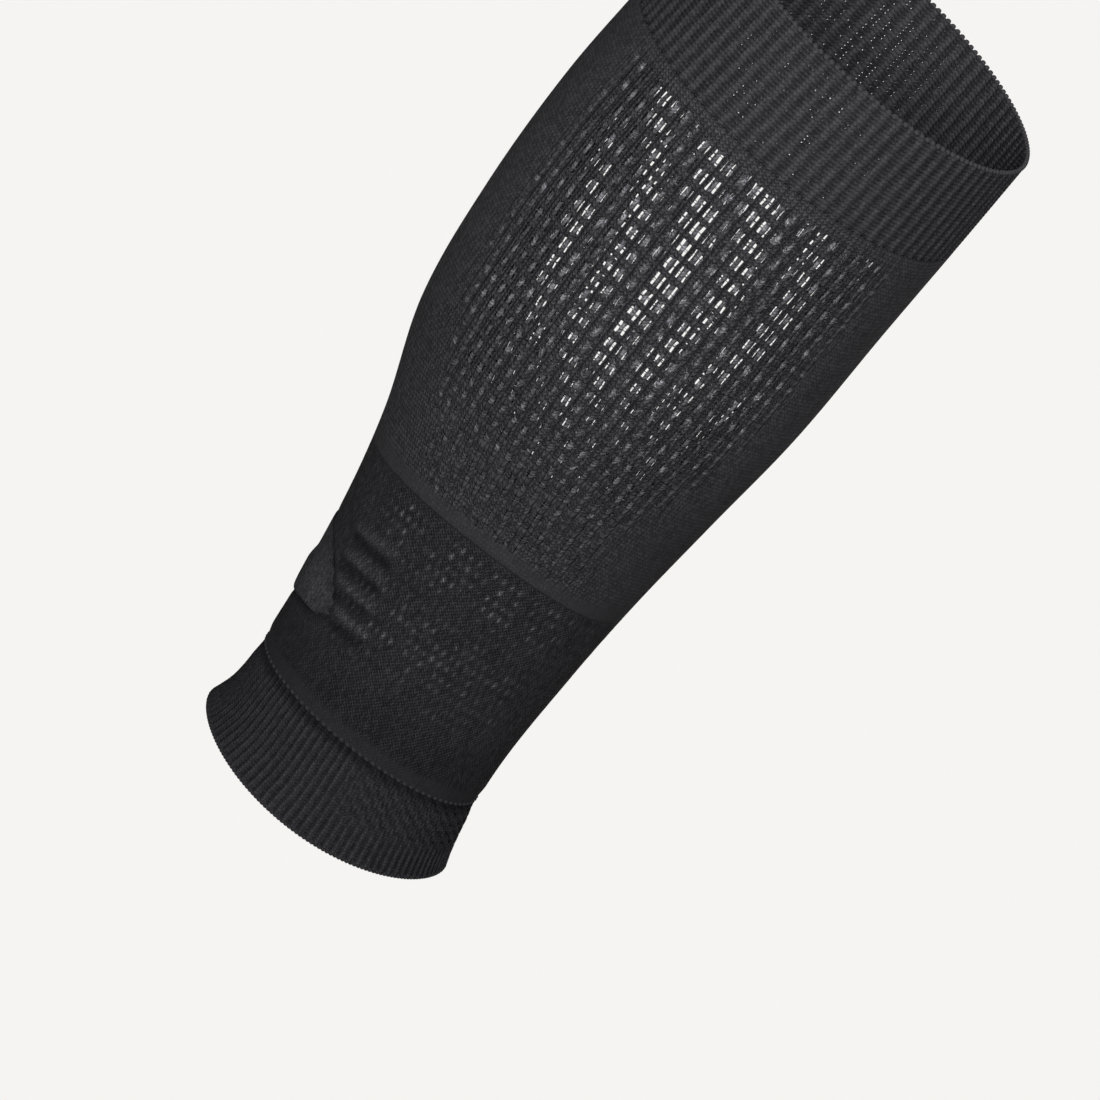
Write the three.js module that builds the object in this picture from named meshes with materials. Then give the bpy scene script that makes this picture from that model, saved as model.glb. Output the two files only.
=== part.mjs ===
// A knitted compression sleeve for the calf, in the form that it has on a leg: a ribbed upper
// cuff, an openwork calf panel, a closer ankle panel with a raised pad over the Achilles tendon,
// and a finely ribbed lower cuff that flares at its hem.
// Millimetres, +Z up the leg, +X towards the shin. The origin is on the leg's axis, where the
// calf is fullest.
import * as THREE from 'three';

// Walls and joins
const JOIN_GAP = 0.3; // between two neighbouring pieces
const PANEL_WALL = 1.6;
const CUFF_WALL = 2.4;

// Ribs of the two cuffs
const UPPER_RIBS = 80;
const UPPER_RIB_DEPTH = 0.7;
const LOWER_RIBS = 96;
const LOWER_RIB_DEPTH = 0.6;

// Facets round the leg: a crest and a valley for each rib, and plainer inner walls
const FACETS_PER_RIB = 2;
const RIBS_PER_INNER_FACET = 2;
const PANEL_FACETS = 60;

// The lower cuff is sewn on behind the ankle panel's edge, then swells out to the full outline
const SEAM_STEP = 0.8;
const SEAM_STEP_HEIGHT = 10;

// Flex ridges on both sides of the pad
const RIDGE_HEIGHT = 0.9;
const RIDGE_REACH = 3.2; // from a crest down to the plain wall
const RIDGE_SOFT_ENDS = 6; // degrees over which a ridge rises
const RIDGE_CLIMB = 0.13; // rise of a ridge towards the shin, per degree round the leg

// Achilles pad
const PAD_EDGE = 0.6; // thickness at its rim
const PAD_CROWN = 1.2; // thickness at its middle
const PAD_COLUMNS = 14;
const PAD_ROWS = 16;

// Cross-sections of the outer surface: the height, how far the shin and the calf side lie from
// the axis, and half the width from flank to flank
const SECTIONS = [
  { z: -236, shin: 69.6, calf: -27.6, half: 42 },
  { z: -222, shin: 64.3, calf: -23.8, half: 38 },
  { z: -195, shin: 59.0, calf: -25.5, half: 34 },
  { z: -150, shin: 57.6, calf: -33.1, half: 38 },
  { z: -120, shin: 58.2, calf: -41.0, half: 44 },
  { z: -85, shin: 60.3, calf: -53.8, half: 51.5 },
  { z: -45, shin: 63.0, calf: -60.1, half: 58 },
  { z: 0, shin: 62.8, calf: -62.8, half: 63 },
  { z: 40, shin: 62.9, calf: -61.7, half: 65.5 },
  { z: 84, shin: 62.7, calf: -61.5, half: 67 },
];

// Heights of the edges round the leg: the mean height, how much higher the shin side is than
// that mean, and how much higher shin and calf both are than the flanks
const EDGES = {
  rim: { mean: 72, tilt: -4, wave: 0 },
  cuffEnd: { mean: 34.3, tilt: -2, wave: 0 },
  ankleTop: { mean: -125.3, tilt: 2, wave: -2.2 },
  seam: { mean: -203.6, tilt: 1, wave: -0.2 },
  hem: { mean: -231.6, tilt: 2.1, wave: 2.2 },
};

// Flex ridges: the height of each crest at its start, and where it starts and ends, in degrees
// from the middle of the back
const RIDGES = [
  { z: -148.2, start: 43, end: 69 },
  { z: -157.4, start: 44, end: 70 },
  { z: -165.9, start: 47, end: 71 },
  { z: -174.0, start: 55, end: 74 },
];

// Outline of the pad: half its width at each height, in degrees from the middle of the back
const PAD_OUTLINE = [
  { z: -186.0, halfAngle: 6 },
  { z: -183.5, halfAngle: 22 },
  { z: -181.0, halfAngle: 40 },
  { z: -177.5, halfAngle: 49 },
  { z: -172.0, halfAngle: 47 },
  { z: -165.0, halfAngle: 35.5 },
  { z: -160.5, halfAngle: 22 },
  { z: -158.5, halfAngle: 8 },
];

const COLOURS = {
  upperCuff: 0x343436,
  calfPanel: 0x303032,
  anklePanel: 0x202022,
  achillesPad: 0x353537,
  lowerCuff: 0x262628,
};
const KNIT_ROUGHNESS = 0.92;

/** A smooth curve through a table's rows, as a function of the height. */
function curveThrough(rows, columns) {
  const heights = rows.map((row) => row.z);
  const values = rows.flatMap((row) => columns.map((column) => row[column]));
  const curve = new THREE.CubicInterpolant(heights, values, columns.length, []);
  return (z) => curve.evaluate(z).slice();
}

const sectionAt = curveThrough(SECTIONS, ['shin', 'calf', 'half']);
const padHalfAngleAt = curveThrough(PAD_OUTLINE, ['halfAngle']);

/** The height of an edge at an angle round the leg, which is 0 at the shin. */
function edgeHeight(edge, angle) {
  return edge.mean + edge.tilt * Math.cos(angle) + edge.wave * Math.cos(2 * angle);
}

/** A point of the outer surface. */
function skinPoint(angle, z) {
  const [shin, calf, half] = sectionAt(z);
  const middle = (shin + calf) / 2;
  const reach = (shin - calf) / 2;
  return new THREE.Vector3(middle + reach * Math.cos(angle), half * Math.sin(angle), z);
}

/** A point that stands off the outer surface, outwards if the distance is positive. */
function offSkin(angle, z, distance) {
  const turn = 0.01;
  const rise = 0.2;
  const round = skinPoint(angle + turn, z).sub(skinPoint(angle - turn, z));
  const up = skinPoint(angle, z + rise).sub(skinPoint(angle, z - rise));
  const outwards = round.cross(up).normalize();
  return skinPoint(angle, z).addScaledVector(outwards, distance);
}

/** Degrees round the leg from the middle of the back, on either flank. */
function degreesFromBack(angle) {
  return Math.abs(THREE.MathUtils.radToDeg(Math.atan2(-Math.sin(angle), -Math.cos(angle))));
}

/** Shares from 0 to 1, with a number of even steps up to each stop. */
function shares(stops) {
  const list = [0];
  let from = 0;
  for (const { upTo, steps } of stops) {
    for (let i = 1; i <= steps; i += 1) list.push(from + ((upTo - from) * i) / steps);
    from = upTo;
  }
  return list;
}

/** Closed loops round the leg between two edges, one for each share of the way up. */
function loopsBetween(lower, upper, columns, upShares, distanceAt) {
  return upShares.map((share) =>
    Array.from({ length: columns }, (_, column) => {
      const angle = (2 * Math.PI * column) / columns;
      const bottom = edgeHeight(lower, angle) + JOIN_GAP / 2;
      const top = edgeHeight(upper, angle) - JOIN_GAP / 2;
      const z = THREE.MathUtils.lerp(bottom, top, share);
      return offSkin(angle, z, distanceAt(angle, z));
    }),
  );
}

/** Collects numbered points and triangles into a geometry. */
class Shell {
  constructor() {
    this.points = [];
    this.triangles = [];
  }

  /** Adds loops of points and gives their numbers. */
  addLoops(loops) {
    return loops.map((loop) => loop.map((point) => this.points.push(point) - 1));
  }

  /** A quad, counter-clockwise seen from outside, split where a skewed one is shorter. */
  quad(a, b, c, d) {
    const clearlyShorter = 0.9;
    const ac = this.points[a].distanceTo(this.points[c]);
    const bd = this.points[b].distanceTo(this.points[d]);
    if (bd < clearlyShorter * ac) this.triangles.push(b, c, d, b, d, a);
    else this.triangles.push(a, b, c, a, c, d);
  }

  /** Joins loops of equal length into a wall that faces away from the leg, or towards it. */
  wall(loops, outwards) {
    for (let row = 0; row + 1 < loops.length; row += 1) {
      const low = loops[row];
      const high = loops[row + 1];
      low.forEach((_, i) => {
        const j = (i + 1) % low.length;
        if (outwards) this.quad(low[i], low[j], high[j], high[i]);
        else this.quad(low[j], low[i], high[i], high[j]);
      });
    }
  }

  /** Joins an outer loop to an inner one of as many points or fewer, facing up or down. */
  rim(outer, inner, upwards) {
    const each = outer.length / inner.length;
    const add = (a, b, c) => this.triangles.push(...(upwards ? [a, b, c] : [b, a, c]));
    inner.forEach((point, i) => {
      const next = inner[(i + 1) % inner.length];
      for (let k = 0; k < each; k += 1) {
        add(outer[i * each + k], outer[(i * each + k + 1) % outer.length], point);
      }
      add(point, outer[((i + 1) * each) % outer.length], next);
    });
  }

  geometry() {
    const geometry = new THREE.BufferGeometry().setFromPoints(this.points);
    geometry.setIndex(this.triangles);
    geometry.computeVertexNormals();
    return geometry;
  }
}

/** A tube of knit with an outer and an inner wall and a rim at each end. */
function tube(outerLoops, innerLoops) {
  const shell = new Shell();
  const outer = shell.addLoops(outerLoops);
  const inner = shell.addLoops(innerLoops);
  shell.wall(outer, true);
  shell.wall(inner, false);
  shell.rim(outer[0], inner[0], false);
  shell.rim(outer.at(-1), inner.at(-1), true);
  return shell.geometry();
}

/** A named piece in its own knit. */
function piece(name, geometry, colour) {
  const material = new THREE.MeshStandardMaterial({
    color: colour,
    roughness: KNIT_ROUGHNESS,
    metalness: 0,
  });
  const mesh = new THREE.Mesh(geometry, material);
  mesh.name = name;
  return mesh;
}

/** How far a ribbed surface lies below its crests at an angle round the leg. */
function ribFall(angle, count, depth) {
  return (depth * (1 - Math.cos(count * angle))) / 2;
}

/** Ribbed welt below the knee. */
function upperCuff() {
  const { cuffEnd, rim } = EDGES;
  const rows = shares([{ upTo: 1, steps: 3 }]);
  const outside = (angle) => -ribFall(angle, UPPER_RIBS, UPPER_RIB_DEPTH);
  const inside = () => -CUFF_WALL;
  const outer = loopsBetween(cuffEnd, rim, UPPER_RIBS * FACETS_PER_RIB, rows, outside);
  const inner = loopsBetween(cuffEnd, rim, UPPER_RIBS / RIBS_PER_INNER_FACET, rows, inside);
  return piece('upper_cuff', tube(outer, inner), COLOURS.upperCuff);
}

/** Openwork panel over the calf. */
function calfPanel() {
  const { ankleTop, cuffEnd } = EDGES;
  const rows = shares([{ upTo: 1, steps: 12 }]);
  const outer = loopsBetween(ankleTop, cuffEnd, PANEL_FACETS, rows, () => 0);
  const inner = loopsBetween(ankleTop, cuffEnd, PANEL_FACETS, rows, () => -PANEL_WALL);
  return piece('calf_panel', tube(outer, inner), COLOURS.calfPanel);
}

/** How far the flex ridges stand out of the ankle panel. */
function ridgeRelief(angle, z) {
  const { smoothstep } = THREE.MathUtils;
  const fromBack = degreesFromBack(angle);
  let height = 0;
  for (const ridge of RIDGES) {
    const crest = ridge.z + RIDGE_CLIMB * (fromBack - ridge.start);
    const across = Math.max(0, 1 - Math.abs(z - crest) / RIDGE_REACH);
    const risen = smoothstep(fromBack, ridge.start - RIDGE_SOFT_ENDS, ridge.start);
    const fallen = smoothstep(fromBack, ridge.end, ridge.end + RIDGE_SOFT_ENDS);
    height += RIDGE_HEIGHT * across * risen * (1 - fallen);
  }
  return height;
}

/** Closer knit round the ankle, with its rows set closest where the flex ridges are. */
function anklePanel() {
  const { seam, ankleTop } = EDGES;
  const outerRows = shares([
    { upTo: 0.34, steps: 3 },
    { upTo: 0.78, steps: 17 },
    { upTo: 1, steps: 2 },
  ]);
  const innerRows = shares([{ upTo: 1, steps: 8 }]);
  const outer = loopsBetween(seam, ankleTop, PANEL_FACETS, outerRows, ridgeRelief);
  const inner = loopsBetween(seam, ankleTop, PANEL_FACETS, innerRows, () => -PANEL_WALL);
  return piece('ankle_panel', tube(outer, inner), COLOURS.anklePanel);
}

/** Raised pad over the Achilles tendon, thickest in its middle. */
function achillesPad() {
  const shell = new Shell();
  const lowest = PAD_OUTLINE[0].z;
  const highest = PAD_OUTLINE.at(-1).z;
  const place = (row, column, thickness) => {
    // Rows lie closest at the head and the foot, where the outline is round
    const share = (1 - Math.cos((Math.PI * row) / PAD_ROWS)) / 2;
    const z = THREE.MathUtils.lerp(lowest, highest, share);
    const side = (2 * column) / PAD_COLUMNS - 1;
    const [halfAngle] = padHalfAngleAt(z);
    const angle = Math.PI + THREE.MathUtils.degToRad(side * halfAngle);
    return offSkin(angle, z, JOIN_GAP + thickness);
  };
  const crowned = (row, column) => {
    const upward = Math.sin((Math.PI * row) / PAD_ROWS);
    const across = Math.sin((Math.PI * column) / PAD_COLUMNS);
    return PAD_EDGE + (PAD_CROWN - PAD_EDGE) * Math.sqrt(upward * across);
  };
  const rows = Array.from({ length: PAD_ROWS + 1 }, (_, row) => row);
  const columns = Array.from({ length: PAD_COLUMNS + 1 }, (_, column) => column);
  const top = shell.addLoops(rows.map((r) => columns.map((c) => place(r, c, crowned(r, c)))));
  const base = shell.addLoops(rows.map((r) => columns.map((c) => place(r, c, 0))));
  for (let r = 0; r < PAD_ROWS; r += 1) {
    for (let c = 0; c < PAD_COLUMNS; c += 1) {
      shell.quad(top[r][c], top[r][c + 1], top[r + 1][c + 1], top[r + 1][c]);
      shell.quad(base[r][c + 1], base[r][c], base[r + 1][c], base[r + 1][c + 1]);
    }
    shell.quad(base[r][0], top[r][0], top[r + 1][0], base[r + 1][0]);
    const end = PAD_COLUMNS;
    shell.quad(top[r][end], base[r][end], base[r + 1][end], top[r + 1][end]);
  }
  for (let c = 0; c < PAD_COLUMNS; c += 1) {
    shell.quad(base[0][c], base[0][c + 1], top[0][c + 1], top[0][c]);
    shell.quad(top[PAD_ROWS][c], top[PAD_ROWS][c + 1], base[PAD_ROWS][c + 1], base[PAD_ROWS][c]);
  }
  return piece('achilles_pad', shell.geometry(), COLOURS.achillesPad);
}

/** Finely ribbed cuff, set in at its seam and flared at its hem. */
function lowerCuff() {
  const { hem, seam } = EDGES;
  const rows = shares([{ upTo: 1, steps: 4 }]);
  const setIn = (angle, z) => {
    const below = edgeHeight(seam, angle) - z;
    return SEAM_STEP * (1 - THREE.MathUtils.smoothstep(below, 0, SEAM_STEP_HEIGHT));
  };
  const outside = (angle, z) => -setIn(angle, z) - ribFall(angle, LOWER_RIBS, LOWER_RIB_DEPTH);
  const inside = (angle, z) => -setIn(angle, z) - CUFF_WALL;
  const outer = loopsBetween(hem, seam, LOWER_RIBS * FACETS_PER_RIB, rows, outside);
  const inner = loopsBetween(hem, seam, LOWER_RIBS / RIBS_PER_INNER_FACET, rows, inside);
  return piece('lower_cuff', tube(outer, inner), COLOURS.lowerCuff);
}

const sleeve = new THREE.Group();
sleeve.name = 'compression_sleeve';
sleeve.add(upperCuff(), calfPanel(), anklePanel(), achillesPad(), lowerCuff());

export default sleeve;
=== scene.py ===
"""Dresses the knitted calf compression sleeve: five zones of knit on one worn form."""

import logging
import math
from dataclasses import dataclass
from enum import Enum
from typing import ClassVar

import bpy
import numpy as np
from mathutils import Matrix, Vector


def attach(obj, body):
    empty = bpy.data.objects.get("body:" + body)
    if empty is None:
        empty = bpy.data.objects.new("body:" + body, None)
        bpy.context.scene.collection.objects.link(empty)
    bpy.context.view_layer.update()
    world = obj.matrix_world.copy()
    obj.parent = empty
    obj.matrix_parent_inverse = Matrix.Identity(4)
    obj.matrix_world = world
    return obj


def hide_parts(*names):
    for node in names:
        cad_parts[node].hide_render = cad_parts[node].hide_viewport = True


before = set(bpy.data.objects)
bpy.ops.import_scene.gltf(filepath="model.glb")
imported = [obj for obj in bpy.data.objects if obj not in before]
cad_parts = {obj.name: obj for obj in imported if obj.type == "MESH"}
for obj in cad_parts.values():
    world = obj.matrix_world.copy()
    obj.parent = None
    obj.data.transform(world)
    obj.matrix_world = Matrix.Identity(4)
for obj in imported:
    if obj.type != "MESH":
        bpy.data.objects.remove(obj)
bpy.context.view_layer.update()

LOG = logging.getLogger("sleeve")
MM = 0.001
TURN = 2 * math.pi
# Points of a wall that lie closer than this are merged
MERGE_MM = 0.001
Pair = tuple[float, float]
Array = np.ndarray


# The worn form, in millimetres, with the same tables as the part's source


@dataclass(frozen=True)
class Section:
    """A cross-section of the outer surface: its height, and how far its sides lie from the axis."""

    z: float
    shin: float
    calf: float
    half: float


@dataclass(frozen=True)
class Edge:
    """An edge round the leg whose height changes gently from shin to back."""

    mean: float
    tilt: float
    wave: float

    def height(self, angle: Array) -> Array:
        """The height at angles round the leg, which are 0 at the shin."""
        return self.mean + self.tilt * np.cos(angle) + self.wave * np.cos(2 * angle)


class Border(Enum):
    """The edges of the zones of knit."""

    RIM = Edge(72, -4, 0)
    CUFF_END = Edge(34.3, -2, 0)
    ANKLE_TOP = Edge(-125.3, 2, -2.2)
    SEAM = Edge(-203.6, 1, -0.2)
    HEM = Edge(-231.6, 2.1, 2.2)


class SmoothTable:
    """A smooth curve through a short table, as a function of the height."""

    def __init__(self, heights: list[float], values: list[tuple[float, ...]]) -> None:
        """Works out the slope at each row.

        Args:
            heights: The height of each row, rising.
            values: The numbers of each row.
        """
        self.heights = np.array(heights, float)
        self.values = np.array(values, float)
        secants = np.diff(self.values, axis=0) / np.diff(self.heights)[:, None]
        self.slopes = np.vstack([secants[:1], (secants[1:] + secants[:-1]) / 2, secants[-1:]])

    def at(self, z: Array) -> Array:
        """The table's numbers at given heights.

        Args:
            z: Heights in any shape.

        Returns:
            The numbers, along a new last axis.
        """
        last = len(self.heights) - 2
        row = np.clip(np.searchsorted(self.heights, z, side="right") - 1, 0, last)
        gap = (self.heights[row + 1] - self.heights[row])[..., None]
        t = (z - self.heights[row])[..., None] / gap
        low = (2 * t**3 - 3 * t**2 + 1) * self.values[row]
        high = (3 * t**2 - 2 * t**3) * self.values[row + 1]
        leave = (t**3 - 2 * t**2 + t) * gap * self.slopes[row]
        arrive = (t**3 - t**2) * gap * self.slopes[row + 1]
        return low + high + leave + arrive


class LegForm:
    """The outer surface of the sleeve as a leg fills it."""

    SECTIONS = (
        Section(-236, 69.6, -27.6, 42),
        Section(-222, 64.3, -23.8, 38),
        Section(-195, 59.0, -25.5, 34),
        Section(-150, 57.6, -33.1, 38),
        Section(-120, 58.2, -41.0, 44),
        Section(-85, 60.3, -53.8, 51.5),
        Section(-45, 63.0, -60.1, 58),
        Section(0, 62.8, -62.8, 63),
        Section(40, 62.9, -61.7, 65.5),
        Section(84, 62.7, -61.5, 67),
    )

    def __init__(self) -> None:
        """Makes the smooth curve through the sections."""
        rows = [(s.shin, s.calf, s.half) for s in self.SECTIONS]
        self.table = SmoothTable([s.z for s in self.SECTIONS], rows)

    def skin(self, angle: Array, z: Array) -> Array:
        """Points of the outer surface.

        Args:
            angle: Angles round the leg, 0 at the shin.
            z: Heights.

        Returns:
            The points, in millimetres.
        """
        shin, calf, half = np.moveaxis(self.table.at(z), -1, 0)
        x = (shin + calf) / 2 + (shin - calf) / 2 * np.cos(angle)
        return np.stack([x, half * np.sin(angle), z], axis=-1)

    def outward(self, angle: Array, z: Array) -> Array:
        """Unit vectors that point away from the leg.

        Args:
            angle: Angles round the leg, 0 at the shin.
            z: Heights.

        Returns:
            One vector for each point.
        """
        turn, climb = 0.01, 0.2
        round_leg = self.skin(angle + turn, z) - self.skin(angle - turn, z)
        up_leg = self.skin(angle, z + climb) - self.skin(angle, z - climb)
        away = np.cross(round_leg, up_leg)
        return away / np.linalg.norm(away, axis=-1, keepdims=True)


@dataclass(frozen=True)
class Ease:
    """An eased change: where it starts, where it is complete, and how large it is."""

    start: float
    end: float
    size: float = 1.0

    def rise(self, value: Array) -> Array:
        """From 0 at the start to the full size at the end."""
        t = np.clip((value - self.start) / (self.end - self.start), 0, 1)
        return self.size * (t * t * (3 - 2 * t))

    def fall(self, value: Array) -> Array:
        """From the full size at the start to 0 at the end."""
        return self.size - self.rise(value)


def degrees_from_back(angle: Array) -> Array:
    """Degrees round the leg from the middle of the back, on either flank."""
    return np.abs(np.degrees(np.arctan2(-np.sin(angle), -np.cos(angle))))


def degrees_from_flank(angle: Array) -> Array:
    """Degrees round the leg from the middle of the nearer flank."""
    return np.abs(degrees_from_back(angle) - 90)


# Nodes


class Nodes:
    """A node tree, and the one way in which nodes are added to it."""

    def __init__(self, tree: bpy.types.NodeTree) -> None:
        """Empties the tree."""
        self.tree = tree
        tree.nodes.clear()

    def add(
        self, kind: str, inputs: dict | None = None, output: int | str = 0, **settings: object
    ) -> "Field | None":
        """Adds a node with its settings and links.

        Args:
            kind: Blender's name for the node.
            inputs: For each socket's name or number, a value, a field to link, or a list of fields.
            output: The name or number of the output that is wanted.
            settings: The node's own settings.

        Returns:
            The wanted output, or None from a node without outputs.
        """
        node = self.tree.nodes.new(kind)
        for name, value in settings.items():
            setattr(node, name, value)
        for key, value in (inputs or {}).items():
            given = value if isinstance(value, list) else [value]
            for one in given:
                if isinstance(one, Field):
                    self.tree.links.new(one.socket, node.inputs[key])
                else:
                    node.inputs[key].default_value = one
        return Field(self, node.outputs[output]) if node.outputs else None


@dataclass(frozen=True)
class Field:
    """An output of a node. Arithmetic on it adds the nodes that work out the result."""

    nodes: Nodes
    socket: bpy.types.NodeSocket

    def __getitem__(self, output: int | str) -> "Field":
        """Another output of the same node."""
        return Field(self.nodes, self.socket.node.outputs[output])

    def step(self, operation: str, *values: object) -> "Field":
        """The result of one step of arithmetic on numbers or fields."""
        return self.nodes.add("ShaderNodeMath", dict(enumerate(values)), operation=operation)

    def __add__(self, other: object) -> "Field":
        """The sum of this number and another."""
        return self.step("ADD", self, other)

    def __sub__(self, other: object) -> "Field":
        """This number less another."""
        return self.step("SUBTRACT", self, other)

    def __rsub__(self, other: object) -> "Field":
        """Another number less this one."""
        return self.step("SUBTRACT", other, self)

    def __mul__(self, other: object) -> "Field":
        """This number times another."""
        return self.step("MULTIPLY", self, other)

    def __truediv__(self, other: object) -> "Field":
        """This number divided by another."""
        return self.step("DIVIDE", self, other)

    def __pow__(self, other: object) -> "Field":
        """This number to a power."""
        return self.step("POWER", self, other)

    def whole(self) -> "Field":
        """The whole number below this one."""
        return self.step("FLOOR", self)

    def at_most(self, limit: float) -> "Field":
        """This number, or the limit if that is less."""
        return self.step("MINIMUM", self, limit)

    def swing(self) -> "Field":
        """How far this number lies from the nearest whole one, from 0 to a half."""
        return self.step("PINGPONG", self, 0.5)

    def varied(self, gain: float) -> "Field":
        """A factor about 1 that follows this number, which goes from 0 to 1."""
        return self * gain + (1 - gain / 2)

    def scaled(self, factor: object) -> "Field":
        """This vector or colour times a number."""
        return self.nodes.add("ShaderNodeVectorMath", {0: self, "Scale": factor}, operation="SCALE")

    def fall(self, start: object, end: object) -> "Field":
        """An eased fall from 1, where this number is at the start, to 0 at the end."""
        limits = {"Value": self, "From Min": start, "From Max": end, "To Min": 1.0, "To Max": 0.0}
        return self.nodes.add("ShaderNodeMapRange", limits, interpolation_type="SMOOTHSTEP")


def linear(colour: str) -> tuple[float, float, float, float]:
    """The linear colour of an sRGB hex value such as #343436."""
    shares = [int(colour[i : i + 2], 16) / 255 for i in (1, 3, 5)]
    return (*(s / 12.92 if s <= 0.04045 else ((s + 0.055) / 1.055) ** 2.4 for s in shares), 1.0)


# Geometry Nodes trees


# What a tree reads from any sheet with holes
PIERCED_READS = {"FLOAT_VECTOR": ("out", "close"), "BOOLEAN": ("hole",)}


class KnitTree(Nodes):
    """A Geometry Nodes tree with named sizes, which ends in a plain dressed mesh.

    SIZES gives the unit of each size, and READS the attributes of the sheet by their type.
    """

    NAME = "Knit"
    SIZES: dict[str, float] = {}
    READS: dict[str, tuple[str, ...]] = {}

    def __init__(self) -> None:
        """Builds the tree."""
        super().__init__(bpy.data.node_groups.new(self.NAME, "GeometryNodeTree"))
        sockets = self.tree.interface
        kinds = {"Geometry": "Geometry", **dict.fromkeys(self.SIZES, "Float"), "Material": "Material"}
        self.identifiers = {
            name: sockets.new_socket(name, in_out="INPUT", socket_type=f"NodeSocket{kind}").identifier
            for name, kind in kinds.items()
        }
        sockets.new_socket("Geometry", in_out="OUTPUT", socket_type="NodeSocketGeometry")
        self.given = self.add("NodeGroupInput")
        self.sheet = {
            name: self.add("GeometryNodeInputNamedAttribute", {"Name": name}, "Attribute", data_type=kind)
            for kind, names in self.READS.items()
            for name in names
        }
        whole = self.add("GeometryNodeRealizeInstances", {"Geometry": self.shape()})
        dressing = {"Geometry": whole, "Material": self.given["Material"]}
        dressed = self.add("GeometryNodeSetMaterial", dressing)
        self.add("NodeGroupOutput", {"Geometry": dressed})

    def shape(self) -> Field:
        """The tree's own part, which gives the shaped geometry."""
        raise NotImplementedError

    def moved(self, height: Field, slide: Field | None = None) -> Field:
        """Moves the sheet's points off its surface.

        Args:
            height: How far each point goes outwards.
            slide: A further vector along the surface.

        Returns:
            The moved sheet.
        """
        offset = self.sheet["out"].scaled(height)
        if slide is not None:
            offset = self.add("ShaderNodeVectorMath", {0: offset, 1: slide}, operation="ADD")
        places = {"Geometry": self.given["Geometry"], "Offset": offset}
        return self.add("GeometryNodeSetPosition", places)

    def drawn(self, size: Field) -> Field:
        """How far each point slides so that holes have a share of their full size."""
        return self.sheet["close"].scaled(1 - size)

    def stored(
        self, sheet: Field, name: str, value: Field, kind: str = "FLOAT", domain: str = "POINT"
    ) -> Field:
        """Keeps a value on the sheet for the material to read."""
        inputs = {"Geometry": sheet, "Name": name, "Value": value}
        return self.add("GeometryNodeStoreNamedAttribute", inputs, data_type=kind, domain=domain)

    def pierced(self, sheet: Field) -> Field:
        """Cuts the holes out of a sheet."""
        holes = {"Geometry": sheet, "Selection": self.sheet["hole"]}
        return self.add("GeometryNodeDeleteGeometry", holes, domain="FACE")

    def walled(self, sheet: Field) -> Field:
        """Gives a sheet its thickness, inwards, and closes its edges and holes.

        Args:
            sheet: The outer face of the cloth.

        Returns:
            The closed wall.
        """
        inwards = self.sheet["out"].scaled(self.given["Wall"] * -1.0)
        push = {"Mesh": sheet, "Offset": inwards, "Offset Scale": 1.0, "Individual": False}
        inner = self.add("GeometryNodeExtrudeMesh", push, mode="FACES")
        # The inner faces are marked so that the material can paint light onto them
        marked = self.stored(inner, "inner", inner["Top"], "BOOLEAN", "FACE")
        turned = self.add("GeometryNodeFlipFaces", {"Mesh": marked})
        both = self.add("GeometryNodeJoinGeometry", {0: [sheet, turned]})
        merge = {"Geometry": both, "Distance": MERGE_MM * MM}
        return self.add("GeometryNodeMergeByDistance", merge)

    def apply(
        self, piece: bpy.types.Object, sizes: object, material: bpy.types.Material
    ) -> bpy.types.Object:
        """Runs the tree on a piece and leaves a plain mesh.

        Args:
            piece: The object whose mesh the tree reads.
            sizes: What has a field for each named size, such as rib_depth for Rib Depth.
            material: What the result is dressed in.

        Returns:
            The same object with its new mesh.
        """
        modifier = piece.modifiers.new(self.NAME, "NODES")
        modifier.node_group = self.tree
        for name, unit in self.SIZES.items():
            size = getattr(sizes, name.lower().replace(" ", "_"))
            modifier[self.identifiers[name]] = size * unit
        modifier[self.identifiers["Material"]] = material
        depsgraph = bpy.context.evaluated_depsgraph_get()
        made = bpy.data.meshes.new_from_object(
            piece.evaluated_get(depsgraph), preserve_all_data_layers=True, depsgraph=depsgraph
        )
        piece.modifiers.clear()
        piece.data = made
        made.name = piece.name
        made.shade_smooth()
        return piece


class RibTree(KnitTree):
    """Ribs up the leg with transverse rungs of yarn in the valleys between them."""

    NAME = "Rib knit"
    SIZES = {
        "Rib Depth": MM,
        "Rung Depth": MM,
        "Rung Glow": 1,
        "Knot Depth": MM,
        "Knot Fill": 1,
        "Crest Share": 1,
        "Pinhole Size": 1,
        "Wall": MM,
    }
    READS = {"FLOAT": ("rib", "rung", "turn", "knot", "raise"), **PIERCED_READS}
    # Shares of a rib's width and of a knot's length, and how much darker a gap between knots is
    SLOPE_SHARE = 0.16
    GAP_SHARE = 0.36
    GAP_SHADE = 0.7

    def shape(self) -> Field:
        """Sinks the valleys, their rungs and the gaps between knots, then cuts the pinholes.

        Returns:
            The ribbed wall.
        """
        crest = self.given["Crest Share"] * 0.5
        ridge = self.sheet["rib"].swing().fall(crest, crest + self.SLOPE_SHARE)
        knot = self.sheet["knot"]
        lift = (1 - ridge) * knot * self.given["Knot Fill"] + ridge
        valley = 1 - lift
        rung = self.sheet["rung"].swing() * 2.0
        gap = self.sheet["turn"].swing().fall(0.0, self.GAP_SHARE) * knot
        sunk = valley * (rung * self.given["Rung Depth"] + self.given["Rib Depth"])
        dent = gap * lift * self.given["Knot Depth"]
        height = self.sheet["raise"] - (sunk + dent)
        sheet = self.moved(height, self.drawn(self.given["Pinhole Size"]))
        # Painted light and shade: the valleys are painted dark, their rungs paler, and the gaps between
        # knots darker
        lit = valley * (1 - rung) * self.given["Rung Glow"] + lift * (1 - gap * self.GAP_SHADE)
        return self.walled(self.pierced(self.stored(sheet, "lift", lit)))


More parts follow.
